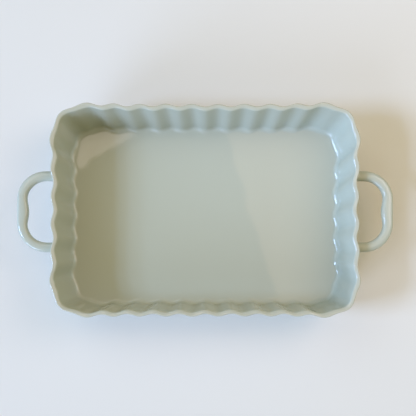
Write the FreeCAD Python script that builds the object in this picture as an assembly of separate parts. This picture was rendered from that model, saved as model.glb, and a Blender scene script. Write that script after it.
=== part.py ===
import FreeCAD
import Part
import math
import os

# Fluted stoneware lasagna dish with two loop handles.
# X runs along the handles, Y across the dish, Z up. The foot ring stands on z = 0,
# and the origin is below the middle of the dish.

# Dish, measured over the glaze and, at the rim, over the crests of the flutes.
# The corners grow rounder by corner_ease from the rim down to the table.
rim_length = 330.0
rim_width = 227.0
dish_height = 67.0
corner_radius = 34.0
corner_ease = 9.0
wall_thickness = 4.8
floor_thickness = 6.4
draft_angle = 7.0
floor_fillet_radius = 5.5
base_round_radius = 7.0

# Flutes, which run from the rim down into the floor fillet and the base round
long_side_flutes = 10
short_side_flutes = 6
flute_depth = 2.8
corner_pitch = 31.5
corner_flare = 1.4
corner_flare_reach = 29.0

# Foot ring, left bare of glaze
foot_height = 2.0
foot_width = 5.0
foot_inset = 18.0
foot_edge_radius = 0.7

# Glaze
glaze_thickness = 0.4

# Loop handles, measured over the glaze
handle_reach = 39.3
handle_span = 77.6
handle_width = 10.8
handle_thickness = 9.5
handle_bend_radius = 26.0
handle_root_drop = 16.5
handle_rise = 2.0
handle_swell = 1.9
handle_swell_reach = 17.0
section_power = 2.6

# Luting slip at the handle roots
slip_thickness = 0.8
slip_spread = 1.6
slip_height = 5.0
slip_edge = 0.3

# Counts: points on a flute and on a handle's section, and outlines in a round
points_per_flute = 4
section_points = 12
stoneware_round_stations = 5
glaze_round_stations = 5
bend_stations = 5
swell_stations = 4
slip_stations = 4

tilt = math.radians(draft_angle)
half_length = rim_length / 2
half_width = rim_width / 2
rim_radius = wall_thickness / 2
rim_centre = (rim_radius, dish_height - rim_radius)
underside = foot_height - glaze_thickness
floor_top = underside + floor_thickness


# Fluted outlines

def corner_gain(z):
    # How much rounder the corners are at a level than at the rim.
    return corner_ease * (dish_height - z) / dish_height


def side_length(half_straight, radius):
    # Length of one side, from the middle of one corner to the middle of the next.
    return 2 * half_straight + radius * math.pi / 2


def side_points(normal_angle, half_rim_straight, reach, inset, flutes, z):
    # One fluted side of the outline, anticlockwise from the crest on its first corner.
    # Each point moves off the plain rounded rectangle by the wave of the flutes,
    # and by a slight flare beside the corners.
    radius = corner_radius - inset + corner_gain(z)
    half_straight = half_rim_straight - corner_gain(z)
    length = side_length(half_straight, radius)
    end_pitch = corner_pitch * length / side_length(half_rim_straight, corner_radius)
    mid_pitch = (length - 2 * end_pitch) / (flutes - 1)
    along = FreeCAD.Vector(-math.sin(normal_angle), math.cos(normal_angle), 0)
    outward = FreeCAD.Vector(math.cos(normal_angle), math.sin(normal_angle), 0)
    level = FreeCAD.Vector(0, 0, z)
    points = []
    start = -length / 2
    for pitch in [end_pitch] + [mid_pitch] * (flutes - 1) + [end_pitch]:
        for step in range(points_per_flute):
            place = start + pitch * step / points_per_flute
            past_straight = abs(place) - half_straight
            turn = math.copysign(max(0, past_straight) / radius, place)
            straight = math.copysign(min(abs(place), half_straight), place)
            normal = outward * math.cos(turn) + along * math.sin(turn)
            depth_share = (1 - math.cos(2 * math.pi * step / points_per_flute)) / 2
            flare_share = math.exp(-(past_straight / corner_flare_reach) ** 2)
            offset = corner_flare * flare_share - flute_depth * depth_share
            centre = along * straight + outward * (reach - radius) + level
            points.append(centre + normal * (radius + offset))
        start += pitch
    return points


def outline(inset, z):
    # The fluted outline at a level, drawn in by inset from the crests of the rim:
    # an arc over each crest, from one point midway down its flanks to the next, and one in each trough.
    points = []
    for turn in (0, math.pi):
        points += side_points(turn, half_width - corner_radius, half_length - inset, inset,
                              short_side_flutes, z)
        points += side_points(turn + math.pi / 2, half_length - corner_radius, half_width - inset, inset,
                              long_side_flutes, z)
    arcs = []
    for middle in range(0, len(points), 2):
        arc = Part.Arc(points[middle - 1], points[middle], points[middle + 1])
        arcs.append(arc.toShape())
    return Part.Wire(arcs)


# Sections of the dish, as lists of (inset, z) stations: two for a straight run, more for a round

def round_run(centre, radius, start, end, count):
    stations = []
    for step in range(count):
        angle = start + (end - start) * step / (count - 1)
        stations.append((centre[0] + radius * math.cos(angle), centre[1] + radius * math.sin(angle)))
    return stations


def beside_wall(distance, z):
    # Inset, at a level, of the line that runs beside the wall's middle line, positive inwards.
    return rim_centre[0] + (distance - (z - rim_centre[1]) * math.sin(tilt)) / math.cos(tilt)


def inside_section(cover, count):
    # From the floor up to the top of the rim, with cover left for the glaze.
    z = floor_top + floor_fillet_radius
    centre = (beside_wall(rim_radius + floor_fillet_radius, z), z)
    fillet = round_run(centre, floor_fillet_radius + cover, math.pi * 3 / 2, math.pi + tilt, count)
    rim = round_run(rim_centre, rim_radius - cover, tilt, math.pi / 2, count)
    return [fillet, [fillet[-1], rim[0]], rim]


def outside_section(cover, count):
    # From the top of the rim down to the underside, with cover left for the glaze.
    z = underside + base_round_radius
    centre = (beside_wall(base_round_radius - rim_radius, z), z)
    rim = round_run(rim_centre, rim_radius - cover, math.pi / 2, math.pi + tilt, count)
    base = round_run(centre, base_round_radius - cover, math.pi + tilt, math.pi * 3 / 2, count)
    return [rim, [rim[-1], base[0]], base]


def turned_back(section):
    return [run[::-1] for run in section[::-1]]


def loft_runs(section, ruled):
    faces = []
    for run in section:
        wires = [outline(inset, z) for inset, z in run]
        faces += Part.makeLoft(wires, False, ruled or len(run) == 2).Faces
    return faces


def close_solid(faces, first, last):
    # Adds the flat face at each end of a section and joins all the faces into a solid.
    caps = [Part.Face(outline(inset, z)) for inset, z in (first, last)]
    shell = Part.makeShell(faces + caps)
    shell.sewShape()
    solid = Part.makeSolid(shell)
    if solid.Volume < 0:
        solid.reverse()
    return solid


# Stoneware basin

def rounded_rectangle(half_x, half_y, radius, z):
    corners = []
    for sign_x, sign_y, quarter in ((1, 1, 0), (-1, 1, 1), (-1, -1, 2), (1, -1, 3)):
        centre = FreeCAD.Vector(sign_x * (half_x - radius), sign_y * (half_y - radius), z)
        circle = Part.Circle(centre, FreeCAD.Vector(0, 0, 1), radius)
        corners.append(Part.Arc(circle, quarter * math.pi / 2, (quarter + 1) * math.pi / 2).toShape())
    edges = []
    for corner, following in zip(corners, corners[1:] + corners[:1]):
        edges.append(corner)
        edges.append(Part.makeLine(corner.Vertexes[-1].Point, following.Vertexes[0].Point))
    return Part.Wire(edges)


def foot_block(inset):
    radius = corner_radius - inset + corner_gain(0)
    outer = rounded_rectangle(half_length - inset, half_width - inset, radius, 0)
    return Part.Face(outer).extrude(FreeCAD.Vector(0, 0, foot_height))


def make_foot_ring():
    ring = foot_block(foot_inset).cut(foot_block(foot_inset + foot_width))
    standing_edges = [edge for edge in ring.Edges if edge.BoundBox.ZMax < foot_height / 2]
    return ring.makeFillet(foot_edge_radius, standing_edges)


def make_dish_body(foot_ring):
    section = inside_section(glaze_thickness, stoneware_round_stations)
    section += outside_section(glaze_thickness, stoneware_round_stations)
    basin = close_solid(loft_runs(section, True), section[0][0], section[-1][-1])
    return basin.fuse(foot_ring)


# Glaze on the basin

def make_coat(glazed, bare):
    # A coat from the glazed section, across its edge on top of the rim, and back along the stoneware.
    edge = [[glazed[-1][-1], bare[0][0]]]
    faces = loft_runs(glazed, False) + loft_runs(edge + bare, True)
    return close_solid(faces, glazed[0][0], bare[-1][-1])


def make_inside_glaze():
    glazed = inside_section(0, glaze_round_stations)
    bare = inside_section(glaze_thickness, stoneware_round_stations)
    return make_coat(glazed, turned_back(bare))


def make_base_glaze():
    glazed = outside_section(0, glaze_round_stations)
    bare = outside_section(glaze_thickness, stoneware_round_stations)
    return make_coat(turned_back(glazed), bare)


# Handles

root_z = dish_height - handle_root_drop
wall_x = half_length - beside_wall(-rim_radius, root_z)
root_x = half_length - beside_wall(rim_radius, root_z) - flute_depth
bar_x = half_length + handle_reach - handle_width / 2


def arm_z(x):
    return root_z + handle_rise * (x - wall_x) / (bar_x - wall_x)


def handle_path():
    # Centre line of the right handle in plan, from its back root to its front root,
    # as (x, y, direction angle).
    arm_y = handle_span / 2
    bend_x = bar_x - handle_bend_radius
    bend_y = arm_y - handle_bend_radius
    half = [(root_x, arm_y, 0), ((root_x + bend_x) / 2, arm_y, 0)]
    for step in range(bend_stations):
        turn = math.pi / 2 * step / bend_stations
        half.append((bend_x + handle_bend_radius * math.sin(turn),
                     bend_y + handle_bend_radius * math.cos(turn), -turn))
    for step in range(swell_stations):
        half.append((bar_x, bend_y * (1 - step / swell_stations), -math.pi / 2))
    middle = (bar_x, 0, -math.pi / 2)
    other_half = [(x, -y, -math.pi - angle) for x, y, angle in half[::-1]]
    return half + [middle] + other_half


def rounded_section(centre, angle, width, thickness):
    # A section between an oval and a rounded square, across a centre line that points along angle.
    side = FreeCAD.Vector(-math.sin(angle), math.cos(angle), 0)
    up = FreeCAD.Vector(0, 0, 1)
    points = []
    for index in range(section_points):
        turn = 2 * math.pi * index / section_points
        across = math.copysign(abs(math.cos(turn)) ** (2 / section_power), math.cos(turn))
        upward = math.copysign(abs(math.sin(turn)) ** (2 / section_power), math.sin(turn))
        points.append(centre + side * (across * width / 2) + up * (upward * thickness / 2))
    curve = Part.BSplineCurve()
    parameters = [index / section_points for index in range(section_points + 1)]
    curve.interpolate(Points=points, Parameters=parameters, PeriodicFlag=True)
    return Part.Wire(curve.toShape())


def make_loop(cover):
    # The right handle's bar, with cover left for the glaze and a swelling towards the hand at its middle.
    sections = []
    for x, y, angle in handle_path():
        swell = handle_swell * math.cos(math.pi / 2 * min(1, abs(y) / handle_swell_reach)) ** 2
        centre = FreeCAD.Vector(x + swell / 2 * math.sin(angle), y - swell / 2 * math.cos(angle), arm_z(x))
        sections.append(rounded_section(centre, angle, handle_width + swell - 2 * cover,
                                        handle_thickness - 2 * cover))
    return Part.makeLoft(sections, True, False)


def make_root_flares(cover):
    # A flare of slip round each root of the right handle, with cover left for the glaze,
    # that thins out along the arm from the wall.
    places = [root_x]
    for step in range(slip_stations):
        places.append(wall_x + slip_height * step / (slip_stations - 1))
    flares = []
    for sign in (1, -1):
        sections = []
        for x in places:
            left_share = 1 - max(0, x - wall_x) / slip_height
            spread = slip_edge + (slip_spread - slip_edge) * left_share ** 2 - cover
            centre = FreeCAD.Vector(x, sign * handle_span / 2, arm_z(x))
            sections.append(rounded_section(centre, 0, handle_width + 2 * spread, handle_thickness + 2 * spread))
        flares.append(Part.makeLoft(sections, True, False))
    return Part.makeCompound(flares)


def inside_wall(stand_off):
    # Everything within the stoneware wall's outer face, moved out by stand_off.
    levels = (underside + base_round_radius, rim_centre[1])
    line = glaze_thickness - rim_radius - stand_off
    return Part.makeLoft([outline(beside_wall(line, z), z) for z in levels], True, True)


def to_left(shape):
    return shape.mirror(FreeCAD.Vector(0, 0, 0), FreeCAD.Vector(1, 0, 0))


foot_ring = make_foot_ring()
dish_body = make_dish_body(foot_ring)
inside_glaze = make_inside_glaze()

root_flares = make_root_flares(glaze_thickness)
right_handle = make_loop(glaze_thickness).cut(inside_wall(slip_thickness))
right_handle_slip = root_flares.cut(inside_wall(0)).cut(right_handle)

covered = make_loop(0).fuse(make_root_flares(0))
right_handle_glaze = covered.cut(inside_wall(glaze_thickness)).cut(right_handle).cut(root_flares)

# The foot ring parts the glaze on the base into the outside coat and the underside's
base_coats = make_base_glaze().cut(foot_ring).Solids
underside_glaze, outside_coat = sorted(base_coats, key=lambda coat: coat.BoundBox.ZMax)
outside_glaze = outside_coat.cut(root_flares).cut(to_left(root_flares))

nodes = {
    "dish_body": dish_body,
    "inside_glaze": inside_glaze,
    "outside_glaze": outside_glaze,
    "underside_glaze": underside_glaze,
    "right_handle": right_handle,
    "left_handle": to_left(right_handle),
    "right_handle_slip": right_handle_slip,
    "left_handle_slip": to_left(right_handle_slip),
    "right_handle_glaze": right_handle_glaze,
    "left_handle_glaze": to_left(right_handle_glaze),
}

os.makedirs("parts", exist_ok=True)
for name, shape in nodes.items():
    print(name, len(shape.Solids), [round(solid.Volume, 1) for solid in shape.Solids], shape.isValid())
    shape.exportStep("parts/" + name + ".step")
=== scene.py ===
import math

import bmesh
import bpy
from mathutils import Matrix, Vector


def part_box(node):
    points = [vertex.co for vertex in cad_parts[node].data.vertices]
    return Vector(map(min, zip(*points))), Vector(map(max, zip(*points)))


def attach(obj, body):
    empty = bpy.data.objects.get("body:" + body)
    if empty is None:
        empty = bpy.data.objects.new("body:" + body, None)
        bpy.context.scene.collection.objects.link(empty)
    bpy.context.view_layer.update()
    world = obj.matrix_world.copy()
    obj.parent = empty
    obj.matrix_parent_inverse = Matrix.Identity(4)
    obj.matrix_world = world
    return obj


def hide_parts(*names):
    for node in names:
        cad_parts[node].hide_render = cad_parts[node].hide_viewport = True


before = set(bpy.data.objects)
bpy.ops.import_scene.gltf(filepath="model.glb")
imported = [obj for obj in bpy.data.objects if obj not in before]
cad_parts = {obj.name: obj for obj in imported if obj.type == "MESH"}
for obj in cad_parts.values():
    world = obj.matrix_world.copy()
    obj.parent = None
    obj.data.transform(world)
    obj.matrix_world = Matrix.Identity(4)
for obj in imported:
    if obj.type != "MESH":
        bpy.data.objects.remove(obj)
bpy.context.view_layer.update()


# Stoneware under the glaze: the basin, which is cast, and its two loop handles, all of one buff clay.
# They are glazed all over but for the foot ring, which is wiped bare so that the dish doesn't stick to
# the kiln shelf. Bare, the clay is matt and sandy, with fine iron specks.

class Tone:
    """A socket in a material's node tree, which takes part in sums as a number does."""

    def __init__(self, tree, socket=None):
        self.tree = tree
        self.socket = socket

    def node(self, kind, settings, inputs, output=0):
        """Adds a node: its settings first, then the values or links of its sockets."""
        made = self.tree.nodes.new("ShaderNode" + kind)
        for name, value in settings.items():
            if name == "stops":
                ramp = made.color_ramp
                while len(ramp.elements) < len(value):
                    ramp.elements.new(1)
                for element, (place, colour) in zip(ramp.elements, value):
                    element.position = place
                    element.color = colour
            else:
                setattr(made, name, value)
        for name, value in inputs.items():
            if isinstance(value, Tone):
                self.tree.links.new(value.socket, made.inputs[name])
            else:
                made.inputs[name].default_value = value
        return Tone(self.tree, made.outputs[output])

    def sum(self, operation, first, second):
        return self.node("Math", {"operation": operation}, {0: first, 1: second})

    def __add__(self, other):
        return self.sum("ADD", self, other)

    def __sub__(self, other):
        return self.sum("SUBTRACT", self, other)

    def __rsub__(self, other):
        return self.sum("SUBTRACT", other, self)

    def __mul__(self, other):
        return self.sum("MULTIPLY", self, other)

    __radd__ = __add__
    __rmul__ = __mul__

    def blend(self, low, high):
        """A colour between low and high, by this value as the share of high."""
        return self.node("Mix", {"data_type": "RGBA"}, {0: self, 6: low, 7: high}, 2)

    def between(self, start, end):
        """This value's smooth climb from 0 at start to 1 at end."""
        limits = {"From Min": start, "From Max": end}
        return self.node("MapRange", {"interpolation_type": "SMOOTHSTEP"}, {"Value": self, **limits})

    def noise(self, scale, detail, roughness=0.5):
        """Noise on these coordinates, with scale grains to the metre."""
        grains = {"Vector": self, "Scale": scale, "Detail": detail, "Roughness": roughness}
        return self.node("TexNoise", {}, grains)


def new_material(name):
    """A material, its surface shader, and the object coordinates that its patterns read."""
    material = bpy.data.materials.new(name)
    material.use_nodes = True
    tree = material.node_tree
    return material, tree.nodes["Principled BSDF"], Tone(tree).node("TexCoord", {}, {}, "Object")


def feed(shader, tones):
    """Links tones to the shader's sockets."""
    for name, tone in tones.items():
        shader.id_data.links.new(tone.socket, shader.inputs[name])


def bare_stoneware():
    """Buff clay in two shades, gritty with sand and specked with iron."""
    material, shader, place = new_material("bare_stoneware")
    clay_light = (0.66, 0.57, 0.45, 1)
    clay_dark = (0.52, 0.43, 0.32, 1)
    iron = (0.20, 0.13, 0.08, 1)
    sand = place.noise(scale=700, detail=4.0, roughness=0.7)
    patches = place.noise(scale=45, detail=3.0)
    specks = place.noise(scale=1300, detail=1.0).between(0.66, 0.72)
    shade = (patches * 0.6 + sand * 0.4).between(0.35, 0.65)
    colour = specks.blend(shade.blend(clay_light, clay_dark), iron)
    grit = place.node("Bump", {}, {"Strength": 0.5, "Distance": 0.0003, "Height": sand})
    feed(shader, {"Base Color": colour, "Roughness": 0.72 + 0.2 * sand, "Normal": grit})
    shader.inputs["Specular IOR Level"].default_value = 0.3
    return material


stoneware = bare_stoneware()
for name in ("dish_body", "left_handle", "right_handle"):
    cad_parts[name].data.materials.clear()
    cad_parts[name].data.materials.append(stoneware)


# Glaze on the basin: one coat of gloss sage glaze over the floor, the fluted wall, the rim and the
# outside down to the foot ring. It is poured and dipped, so it runs thin over the rim, where the clay
# warms it, and pools deeper in the hollows of the flutes and at the foot of the wall. The warmer,
# slightly darker colour over the rim's outer edge is partly that thin glaze and partly painted shade for the
# rim's shaded outer side.

rim_length = 0.330
rim_width = 0.227
corner_radius = 0.034
corner_ease = 0.009
wall_thickness = 0.0048
draft = math.radians(7)
floor_top = 0.008
floor_fillet_radius = 0.0055
base_round_radius = 0.007
underside = 0.0016
foot_inset = 0.018
glaze_thickness = 0.0004
dish_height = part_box("inside_glaze")[1].z

rim_radius = wall_thickness / 2
rim_centre = (rim_radius, dish_height - rim_radius)
rim_edge_radius = 0.0011
rim_inner_radius = 0.0022
rim_slope = math.radians(15)
rim_top_reach = 0.00222

long_side_flutes = 10
short_side_flutes = 6
flute_depth = 0.0028
corner_pitch = 0.0315
corner_flare = 0.0014
corner_flare_reach = 0.029

# Waves that the kiln leaves in the wall: the height of each, how many go round, and where it starts.
sideways_waves = ((0.00012, 5, 0.8), (0.0001, 13, 2.1))
upward_waves = ((0.00008, 3, 1.9), (0.00005, 8, 0.5))

# Depth of the glaze, from 0 or less at its thinnest to 1 at its deepest, and its gain in a trough.
base_depth = 0.7
base_trough_gain = 0.1
outer_foot_depth = 0.5
outer_top_depth = 0.1
outer_trough_gain = 0.2
# The rim's outer edge takes the thin colour, which there is partly thin glaze and partly painted shade for
# the rim's shaded outer side.
rim_edge_depth_with_shade = -0.2
inner_depth = 0.3
inner_trough_gain = -0.1
fillet_foot_depth = 0.45
fillet_trough_gain = -0.05
floor_depth = 0.5

steps_per_flute = 16
round_steps = 8
rim_top_steps = 3
wall_steps = 9
fillet_steps = 10
floor_ring_shares = (0.985, 0.95, 0.88, 0.75, 0.55, 0.35, 0.15)
flutes_fade_share = 0.08

# Each side: the turn it faces, half its straight run, its reach from the middle, and its flutes.
dish_sides = []
for facing in (0, math.pi):
    half_straights = (rim_width / 2 - corner_radius, rim_length / 2 - corner_radius)
    dish_sides.append((facing, half_straights[0], rim_length / 2, short_side_flutes))
    dish_sides.append((facing + math.pi / 2, half_straights[1], rim_width / 2, long_side_flutes))
flutes_in_all = 2 * (long_side_flutes + short_side_flutes + 2)


def trough_share(flute):
    """How far down its flank a place is: 0 on a crest, 1 in a trough."""
    return (1 - math.cos(2 * math.pi * flute)) / 2


def flute_run(half_rim_straight, flutes, inset, z):
    """A side's corner radius, half straight run, whole run, and the pitch of its end and middle flutes."""
    gain = corner_ease * (dish_height - z) / dish_height
    radius = corner_radius - inset + gain
    half_straight = half_rim_straight - gain
    length = 2 * half_straight + radius * math.pi / 2
    end_pitch = corner_pitch * length / (2 * half_rim_straight + corner_radius * math.pi / 2)
    mid_pitch = (length - 2 * end_pitch) / (flutes - 1)
    return radius, half_straight, length, end_pitch, mid_pitch


def on_outline(flute, inset, z, fluted_share=1.0):
    """The place so many flutes round the outline at a level, drawn in by inset from the rim's crests."""
    for facing, half_rim_straight, reach, flutes in dish_sides:
        if flute < flutes + 1:
            break
        flute -= flutes + 1
    radius, half_straight, length, end_pitch, mid_pitch = flute_run(half_rim_straight, flutes, inset, z)
    ends = min(flute, 1) + max(0, flute - flutes)
    place = end_pitch * ends + mid_pitch * (flute - ends) - length / 2
    past_straight = abs(place) - half_straight
    turn = facing + math.copysign(max(0, past_straight) / radius, place)
    straight = math.copysign(min(abs(place), half_straight), place)
    flare = corner_flare * math.exp(-(past_straight / corner_flare_reach) ** 2)
    offset = radius + fluted_share * (flare - flute_depth * trough_share(flute))
    outward = Vector((math.cos(facing), math.sin(facing), 0))
    sideways = Vector((-outward.y, outward.x, 0))
    centre = sideways * straight + outward * (reach - inset - radius)
    return centre + Vector((math.cos(turn), math.sin(turn), 0)) * offset


def beside_wall(distance, z):
    """Inset, at a level, of the line that runs beside the wall's middle line, positive inwards."""
    return rim_centre[0] + (distance - (z - rim_centre[1]) * math.sin(draft)) / math.cos(draft)


def round_run(centre, radius, start, end, steps):
    """Stations (inset, z) along an arc, with both its ends."""
    angles = [start + (end - start) * step / steps for step in range(steps + 1)]
    return [(centre[0] + radius * math.cos(angle), centre[1] + radius * math.sin(angle)) for angle in angles]


def straight_run(start, end, steps):
    """Stations (inset, z) between two others, without them."""
    across = end[0] - start[0]
    up = end[1] - start[1]
    shares = [step / steps for step in range(1, steps)]
    return [(start[0] + across * share, start[1] + up * share) for share in shares]


def rim_corner(radius, face_turn):
    """The centre of the round between a face of the wall and the rim's top, which slopes inwards."""
    top_turn = math.pi / 2 - rim_slope
    face_reach = rim_radius - radius
    top_reach = rim_top_reach - radius
    spread = math.sin(top_turn - face_turn)
    across = (face_reach * math.sin(top_turn) - top_reach * math.sin(face_turn)) / spread
    up = (top_reach * math.cos(face_turn) - face_reach * math.cos(top_turn)) / spread
    return rim_centre[0] + across, rim_centre[1] + up


def rim_run():
    """Stations over the rim, from its crisp outer edge to its soft inner one."""
    outer_turn = math.pi + draft
    top_turn = math.pi / 2 - rim_slope
    edge_centre = rim_corner(rim_edge_radius, outer_turn)
    inner_centre = rim_corner(rim_inner_radius, draft)
    edge = round_run(edge_centre, rim_edge_radius, outer_turn, top_turn, round_steps)
    inner = round_run(inner_centre, rim_inner_radius, top_turn, draft, round_steps)
    return edge + straight_run(edge[-1], inner[0], rim_top_steps) + inner


def coated(run, first_depth, last_depth, trough_gain):
    """Adds to each station of a run the depth of its glaze, and how much deeper it lies in a trough."""
    last = len(run) - 1
    depths = [first_depth + (last_depth - first_depth) * step / last for step in range(len(run))]
    return [(*station, depth, trough_gain) for station, depth in zip(run, depths)]


def basin_section():
    """Stations of the glazed surface, from the foot ring up the outside and down to the floor."""
    outer_turn = math.pi + draft
    downward = math.pi * 3 / 2
    base_z = underside + base_round_radius
    base_centre = (beside_wall(base_round_radius - rim_radius, base_z), base_z)
    base = round_run(base_centre, base_round_radius, downward, outer_turn, round_steps)
    rim = rim_run()
    fillet_z = floor_top + floor_fillet_radius
    fillet_centre = (beside_wall(rim_radius + floor_fillet_radius, fillet_z), fillet_z)
    fillet = round_run(fillet_centre, floor_fillet_radius, outer_turn, downward, fillet_steps)
    outer_wall = straight_run(base[-1], rim[0], wall_steps)
    inner_wall = straight_run(rim[-1], fillet[0], wall_steps)
    section = coated(base, base_depth, base_depth, base_trough_gain)
    section += coated(outer_wall, outer_foot_depth, outer_top_depth, outer_trough_gain)
    # Over the rim's outer edge the colour is thin glaze plus painted shade for its shaded outer side.
    section += coated(rim, rim_edge_depth_with_shade, inner_depth, 0)
    section += coated(inner_wall, inner_depth, inner_depth, inner_trough_gain)
    section += coated(fillet, inner_depth, fillet_foot_depth, fillet_trough_gain)
    return section


def next_ring(mesh, ring):
    """Extrudes a ring of edges and gives the new ring's edges and vertices."""
    made = bmesh.ops.extrude_edge_only(mesh, edges=ring)["geom"]
    verts = [part for part in made if isinstance(part, bmesh.types.BMVert)]
    new = set(verts)
    edges = [part for part in made if isinstance(part, bmesh.types.BMEdge) and new.issuperset(part.verts)]
    return edges, verts


def kiln_warp(flute, z):
    """The slight wave that drying and firing leave in the wall, greatest at the rim."""
    way = 2 * math.pi * flute / flutes_in_all
    sideways = sum(height * math.sin(count * way + start) for height, count, start in sideways_waves)
    upward = sum(height * math.sin(count * way + start) for height, count, start in upward_waves)
    height_share = z / dish_height
    return height_share * sideways, height_share ** 2 * upward


def finished(mesh, name, material, body, replaced):
    """Makes the mesh a smooth object that rides on a body in place of CAD nodes."""
    bmesh.ops.recalc_face_normals(mesh, faces=mesh.faces)
    for face in mesh.faces:
        face.smooth = True
    data = bpy.data.meshes.new(name)
    mesh.to_mesh(data)
    mesh.free()
    data.materials.append(material)
    piece = bpy.data.objects.new(name, data)
    bpy.context.scene.collection.objects.link(piece)
    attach(piece, body)
    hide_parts(*replaced)
    return piece


def sage_glaze():
    """Gloss glaze, coloured by its depth and by painted shade on the rim's outer edge, with the slow swell
    and fine peel of a fired skin.
    """
    material, shader, place = new_material("sage_glaze")
    # Thin colour: glaze run thin over the rim, warmed and darkened as painted shade for the rim's shaded
    # outer side.
    thin_glaze_and_shade = (0.465, 0.46, 0.36, 1)
    even = (0.455, 0.475, 0.385, 1)
    deep = (0.41, 0.44, 0.365, 1)
    depth = place.node("Attribute", {"attribute_name": "glaze_depth"}, {}, "Fac")
    clouds = place.noise(scale=14, detail=3.0)
    mottle = place.noise(scale=160, detail=4.0, roughness=0.6)
    cover = depth + 0.25 * (clouds - 0.5) + 0.16 * (mottle - 0.5)
    stops = ((0.0, thin_glaze_and_shade), (0.3, even), (0.6, even), (1.0, deep))
    colour = place.node("ValToRGB", {"stops": stops}, {"Fac": cover})
    swell = place.noise(scale=38, detail=1.0)
    peel = place.noise(scale=420, detail=2.0)
    skin = place.node("Bump", {}, {"Strength": 0.25, "Distance": 0.0004, "Height": swell + 0.05 * peel})
    feed(shader, {"Base Color": colour, "Roughness": 0.02 + 0.03 * mottle, "Normal": skin})
    shader.inputs["IOR"].default_value = 1.5
    return material


def basin_glaze_mesh():
    """The glaze's outer face, drawn from the foot ring over the rim to the middle of the floor."""
    mesh = bmesh.new()
    flute = mesh.verts.layers.float.new("flute")
    depth = mesh.verts.layers.float.new("glaze_depth")
    count = flutes_in_all * steps_per_flute
    start = bmesh.ops.create_circle(mesh, segments=count, radius=rim_width)["verts"]
    ring = mesh.edges[:]
    for step, vert in enumerate(start):
        vert[flute] = step / steps_per_flute
        vert[depth] = base_depth
        vert.co = on_outline(vert[flute], foot_inset, 0, 0) + Vector((0, 0, underside))
    for inset, z, station_depth, trough_gain in basin_section():
        ring, verts = next_ring(mesh, ring)
        for vert in verts:
            sideways, upward = kiln_warp(vert[flute], z)
            vert.co = on_outline(vert[flute], inset - sideways, z) + Vector((0, 0, z + upward))
            vert[depth] = station_depth + trough_gain * (trough_share(vert[flute]) - 0.5)
    floor_inset = inset
    for share in floor_ring_shares:
        ring, verts = next_ring(mesh, ring)
        fluted_share = max(0, 1 - (1 - share) / flutes_fade_share)
        for vert in verts:
            vert.co = on_outline(vert[flute], floor_inset, floor_top, fluted_share) * share
            vert.co.z = floor_top
            vert[depth] = floor_depth
    bmesh.ops.pointmerge(mesh, verts=verts, merge_co=Vector((0, 0, floor_top)))
    return mesh


glaze = sage_glaze()
basin_glaze = finished(basin_glaze_mesh(), "basin_glaze", glaze, "root",
                       ("inside_glaze", "outside_glaze"))
coat = basin_glaze.modifiers.new("coat", "SOLIDIFY")
coat.thickness = glaze_thickness
coat.offset = -1


# Glaze on the underside: a thin pool of the same glaze on the recessed base within the foot ring.
# It stops short of the ring's bare edge, where it was wiped off with a sponge.

foot_width = 0.005
pool_depth = 0.6


def underside_glaze_mesh():
    """A flat pool with the outline of the foot ring's inner edge."""
    mesh = bmesh.new()
    depth = mesh.verts.layers.float.new("glaze_depth")
    count = flutes_in_all * steps_per_flute
    start = bmesh.ops.create_circle(mesh, segments=count, radius=rim_width)["verts"]
    pool_inset = foot_inset + foot_width
    for step, vert in enumerate(start):
        vert.co = on_outline(step / steps_per_flute, pool_inset, 0, 0)
        vert.co.z = underside + glaze_thickness
        vert[depth] = pool_depth
    for vert in next_ring(mesh, mesh.edges[:])[1]:
        vert.co.z = underside
    bmesh.ops.holes_fill(mesh, edges=mesh.edges, sides=count)
    return mesh


finished(underside_glaze_mesh(), "underside_glaze_pool", glaze, "root", ("underside_glaze",))


# Handles: loops of stoneware, pressed in a mould, luted to the short sides and glazed with the basin.
# Each loop rises a little from its roots, and swells towards the hand at its middle. The glaze
# fills the corner where an arm meets the wall.

handle_span = 0.0776
handle_width = 0.0108
handle_thickness = 0.0095
handle_bend_radius = 0.026
handle_root_drop = 0.0165
handle_rise = 0.002
handle_swell = 0.0019
handle_swell_reach = 0.017
section_power = 2.6
root_fillet_width = 0.0016
root_fillet_length = 0.005
bar_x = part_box("right_handle_glaze")[1].x - handle_width / 2
root_z = dish_height - handle_root_drop
wall_x = rim_length / 2 - beside_wall(-rim_radius, root_z)

grip_depth = 0.85
root_depth_gain = 0.15
under_depth_gain = 0.15

section_steps = 40
root_steps = 8
bend_steps = 13
bar_steps = 8


def wall_face(y, z):
    """How far the outer face of the short side stands from the middle, at a place on its straight run."""
    inset = beside_wall(-rim_radius, z)
    half_rim_straight = rim_width / 2 - corner_radius
    length, end_pitch, mid_pitch = flute_run(half_rim_straight, short_side_flutes, inset, z)[2:]
    return on_outline(1 + (y + length / 2 - end_pitch) / mid_pitch, inset, z).x


def handle_stations():
    """Places along the loop, from root to root: x, y, the way it points, and its spread at the root."""
    square = math.pi / 2
    arm_y = handle_span / 2
    bend_x = bar_x - handle_bend_radius
    bend_y = arm_y - handle_bend_radius
    half = []
    for step in range(root_steps + 1):
        angle = square * step / root_steps
        x = wall_x + root_fillet_length * (1 - math.cos(angle))
        half.append((x, arm_y, 0, root_fillet_width * (1 - math.sin(angle))))
    half.append(((x + bend_x) / 2, arm_y, 0, 0))
    for step in range(bend_steps):
        angle = square * step / bend_steps
        x = bend_x + handle_bend_radius * math.sin(angle)
        half.append((x, bend_y + handle_bend_radius * math.cos(angle), -angle, 0))
    for step in range(bar_steps):
        half.append((bar_x, bend_y * (1 - step / bar_steps), -square, 0))
    other_half = [(x, -y, -math.pi - angle, spread) for x, y, angle, spread in half[::-1]]
    return half + [(bar_x, 0, -square, 0)] + other_half


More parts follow.
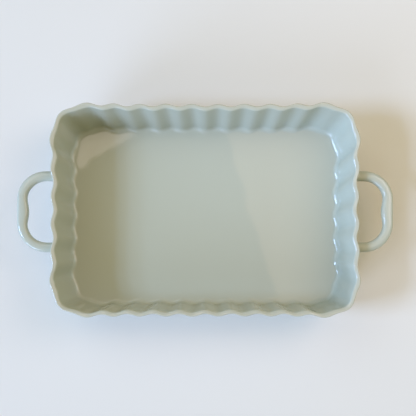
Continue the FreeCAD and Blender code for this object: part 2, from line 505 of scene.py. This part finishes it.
def handle_glaze_mesh(side):
    """The glazed skin of a loop, a flattened oval drawn along its stations."""
    mesh = bmesh.new()
    turn = mesh.verts.layers.float.new("turn")
    depth = mesh.verts.layers.float.new("glaze_depth")
    verts = bmesh.ops.create_circle(mesh, segments=section_steps, radius=handle_width)["verts"]
    ring = mesh.edges[:]
    for step, vert in enumerate(verts):
        vert[turn] = 2 * math.pi * step / section_steps
    for index, (x, y, angle, spread) in enumerate(handle_stations()):
        if index > 0:
            ring, verts = next_ring(mesh, ring)
        swell = handle_swell * math.cos(math.pi / 2 * min(1, abs(y) / handle_swell_reach)) ** 2
        half_width = (handle_width + swell) / 2 + spread
        half_thickness = handle_thickness / 2 + spread
        level = root_z + handle_rise * (x - wall_x) / (bar_x - wall_x)
        across = Vector((-math.sin(angle), math.cos(angle), 0))
        centre = Vector((x, y, level)) - across * swell / 2
        near_share = max(0, 1 - (x - wall_x) / (2 * root_fillet_length))
        for vert in verts:
            cos, sin = math.cos(vert[turn]), math.sin(vert[turn])
            out = math.copysign(abs(cos) ** (2 / section_power), cos) * half_width
            up = math.copysign(abs(sin) ** (2 / section_power), sin) * half_thickness
            vert.co = centre + across * out + Vector((0, 0, up))
            vert.co.x += near_share * (wall_face(vert.co.y, vert.co.z) - wall_x)
            vert.co.x *= side
            vert[depth] = grip_depth + root_depth_gain * near_share - under_depth_gain * sin
    bmesh.ops.holes_fill(mesh, edges=mesh.edges, sides=section_steps)
    return mesh


for side, name in ((-1, "left"), (1, "right")):
    finished(handle_glaze_mesh(side), name + "_loop_glaze", glaze, "root",
             (name + "_handle_glaze", name + "_handle_slip"))


# Studio: a plain pale table in a pale room. A cool softbox of three panes stands high on the left, with
# cool panels below it and in front. A warm panel is near on the right, fill panels stand right and
# back, and two warm panels hang overhead, where the gloss of the floor shows them.

table_radius = 6.0
dish_middle = (0, 0, 0.03)
window_pane = (1.4, 0.35)
window_tint = (0.43, 0.61, 1.0)


def table_top():
    """A wide matt disc under the dish."""
    sheet = bmesh.new()
    bmesh.ops.create_circle(sheet, cap_ends=True, segments=64, radius=table_radius)
    data = bpy.data.meshes.new("table_top")
    sheet.to_mesh(data)
    sheet.free()
    material, shader = new_material("pale_table")[:2]
    shader.inputs["Base Color"].default_value = (0.715, 0.69, 0.635, 1)
    shader.inputs["Roughness"].default_value = 0.9
    shader.inputs["Specular IOR Level"].default_value = 0.1
    data.materials.append(material)
    table = bpy.data.objects.new("table_top", data)
    bpy.context.scene.collection.objects.link(table)


def softbox(name, place, aim, size, power, tint, turn=0.0):
    """A rectangular lamp of a width and height, at a place, aimed at another, turned about its own axis."""
    lamp = bpy.data.lights.new(name, "AREA")
    lamp.shape = "RECTANGLE"
    lamp.size, lamp.size_y = size
    lamp.energy = power
    lamp.color = tint
    holder = bpy.data.objects.new(name, lamp)
    holder.location = place
    holder.rotation_euler = (Vector(aim) - Vector(place)).to_track_quat("-Z", "Y").to_euler()
    holder.rotation_euler.rotate_axis("Z", turn)
    holder.visible_camera = False
    bpy.context.scene.collection.objects.link(holder)


def pale_room():
    """The room, which lights the dish warmly and looks pale to the camera and in the gloss."""
    room_light = (0.27, 0.205, 0.015, 1)
    room_seen = (0.52, 0.52, 0.46, 1)
    world = bpy.data.worlds.new("pale_room")
    world.use_nodes = True
    bpy.context.scene.world = world
    tree = world.node_tree
    by_camera = Tone(tree).node("LightPath", {}, {}, "Is Camera Ray")
    in_gloss = Tone(tree).node("LightPath", {}, {}, "Is Glossy Ray")
    room = (by_camera + in_gloss).blend(room_light, room_seen)
    background = tree.nodes["Background"]
    tree.links.new(room.socket, background.inputs["Color"])
    background.inputs["Strength"].default_value = 1.0


table_top()
softbox("window_low_pane", (-4.142, -0.656, 2.723), dish_middle, window_pane, 62, window_tint)
softbox("window_mid_pane", (-3.865, -0.612, 3.113), dish_middle, window_pane, 82, window_tint)
softbox("window_high_pane", (-3.552, -0.563, 3.473), dish_middle, window_pane, 62, window_tint)
softbox("cool_panel_left", (-4.849, -0.169, 1.21), dish_middle, (3.0, 1.5), 40, (0.05, 0.40, 1.0))
softbox("cool_panel_low", (-3.399, -3.399, 1.378), dish_middle, (2.0, 1.5), 108, (0.41, 0.58, 1.0))
softbox("cool_panel_front", (-2.838, -3.382, 2.347), dish_middle, (3.0, 2.5), 110, (0.58, 0.71, 1.0))
softbox("warm_panel_near", (0.70, 0.30, 0.90), dish_middle, (0.6, 0.6), 4.0, (1.0, 0.88, 0.90))
softbox("fill_panel_right", (1.669, 0.0, 0.674), dish_middle, (1.2, 0.7), 5.5, (0.50, 0.82, 1.0))
softbox("fill_panel_back", (-1.0, 1.0, 1.414), dish_middle, (1.4, 1.0), 6.9, (0.65, 0.83, 1.0))
softbox("ceiling_panel", (0.56, 0.25, 2.0), (0.56, 0.25, 0), (0.75, 1.1), 3.0, (1.0, 0.69, 0.44), 0.3)
softbox("ceiling_strip", (-0.52, 0.64, 2.0), (-0.52, 0.64, 0), (0.7, 0.4), 2.1, (1.0, 0.84, 0.75), 0.56)
pale_room()


# Camera: it looks straight down from about 0.8 m, over the front half of the dish. Its lens is shifted,
# which brings the dish to the middle of the picture without tilting the view.

camera = bpy.data.cameras.new("camera")
camera.lens = 59.75
camera.shift_y = 0.197
camera_object = bpy.data.objects.new("camera", camera)
camera_object.location = (0.0032, -0.0852, 0.8043)
bpy.context.scene.collection.objects.link(camera_object)
bpy.context.scene.camera = camera_object
bpy.context.scene.view_settings.view_transform = "Standard"
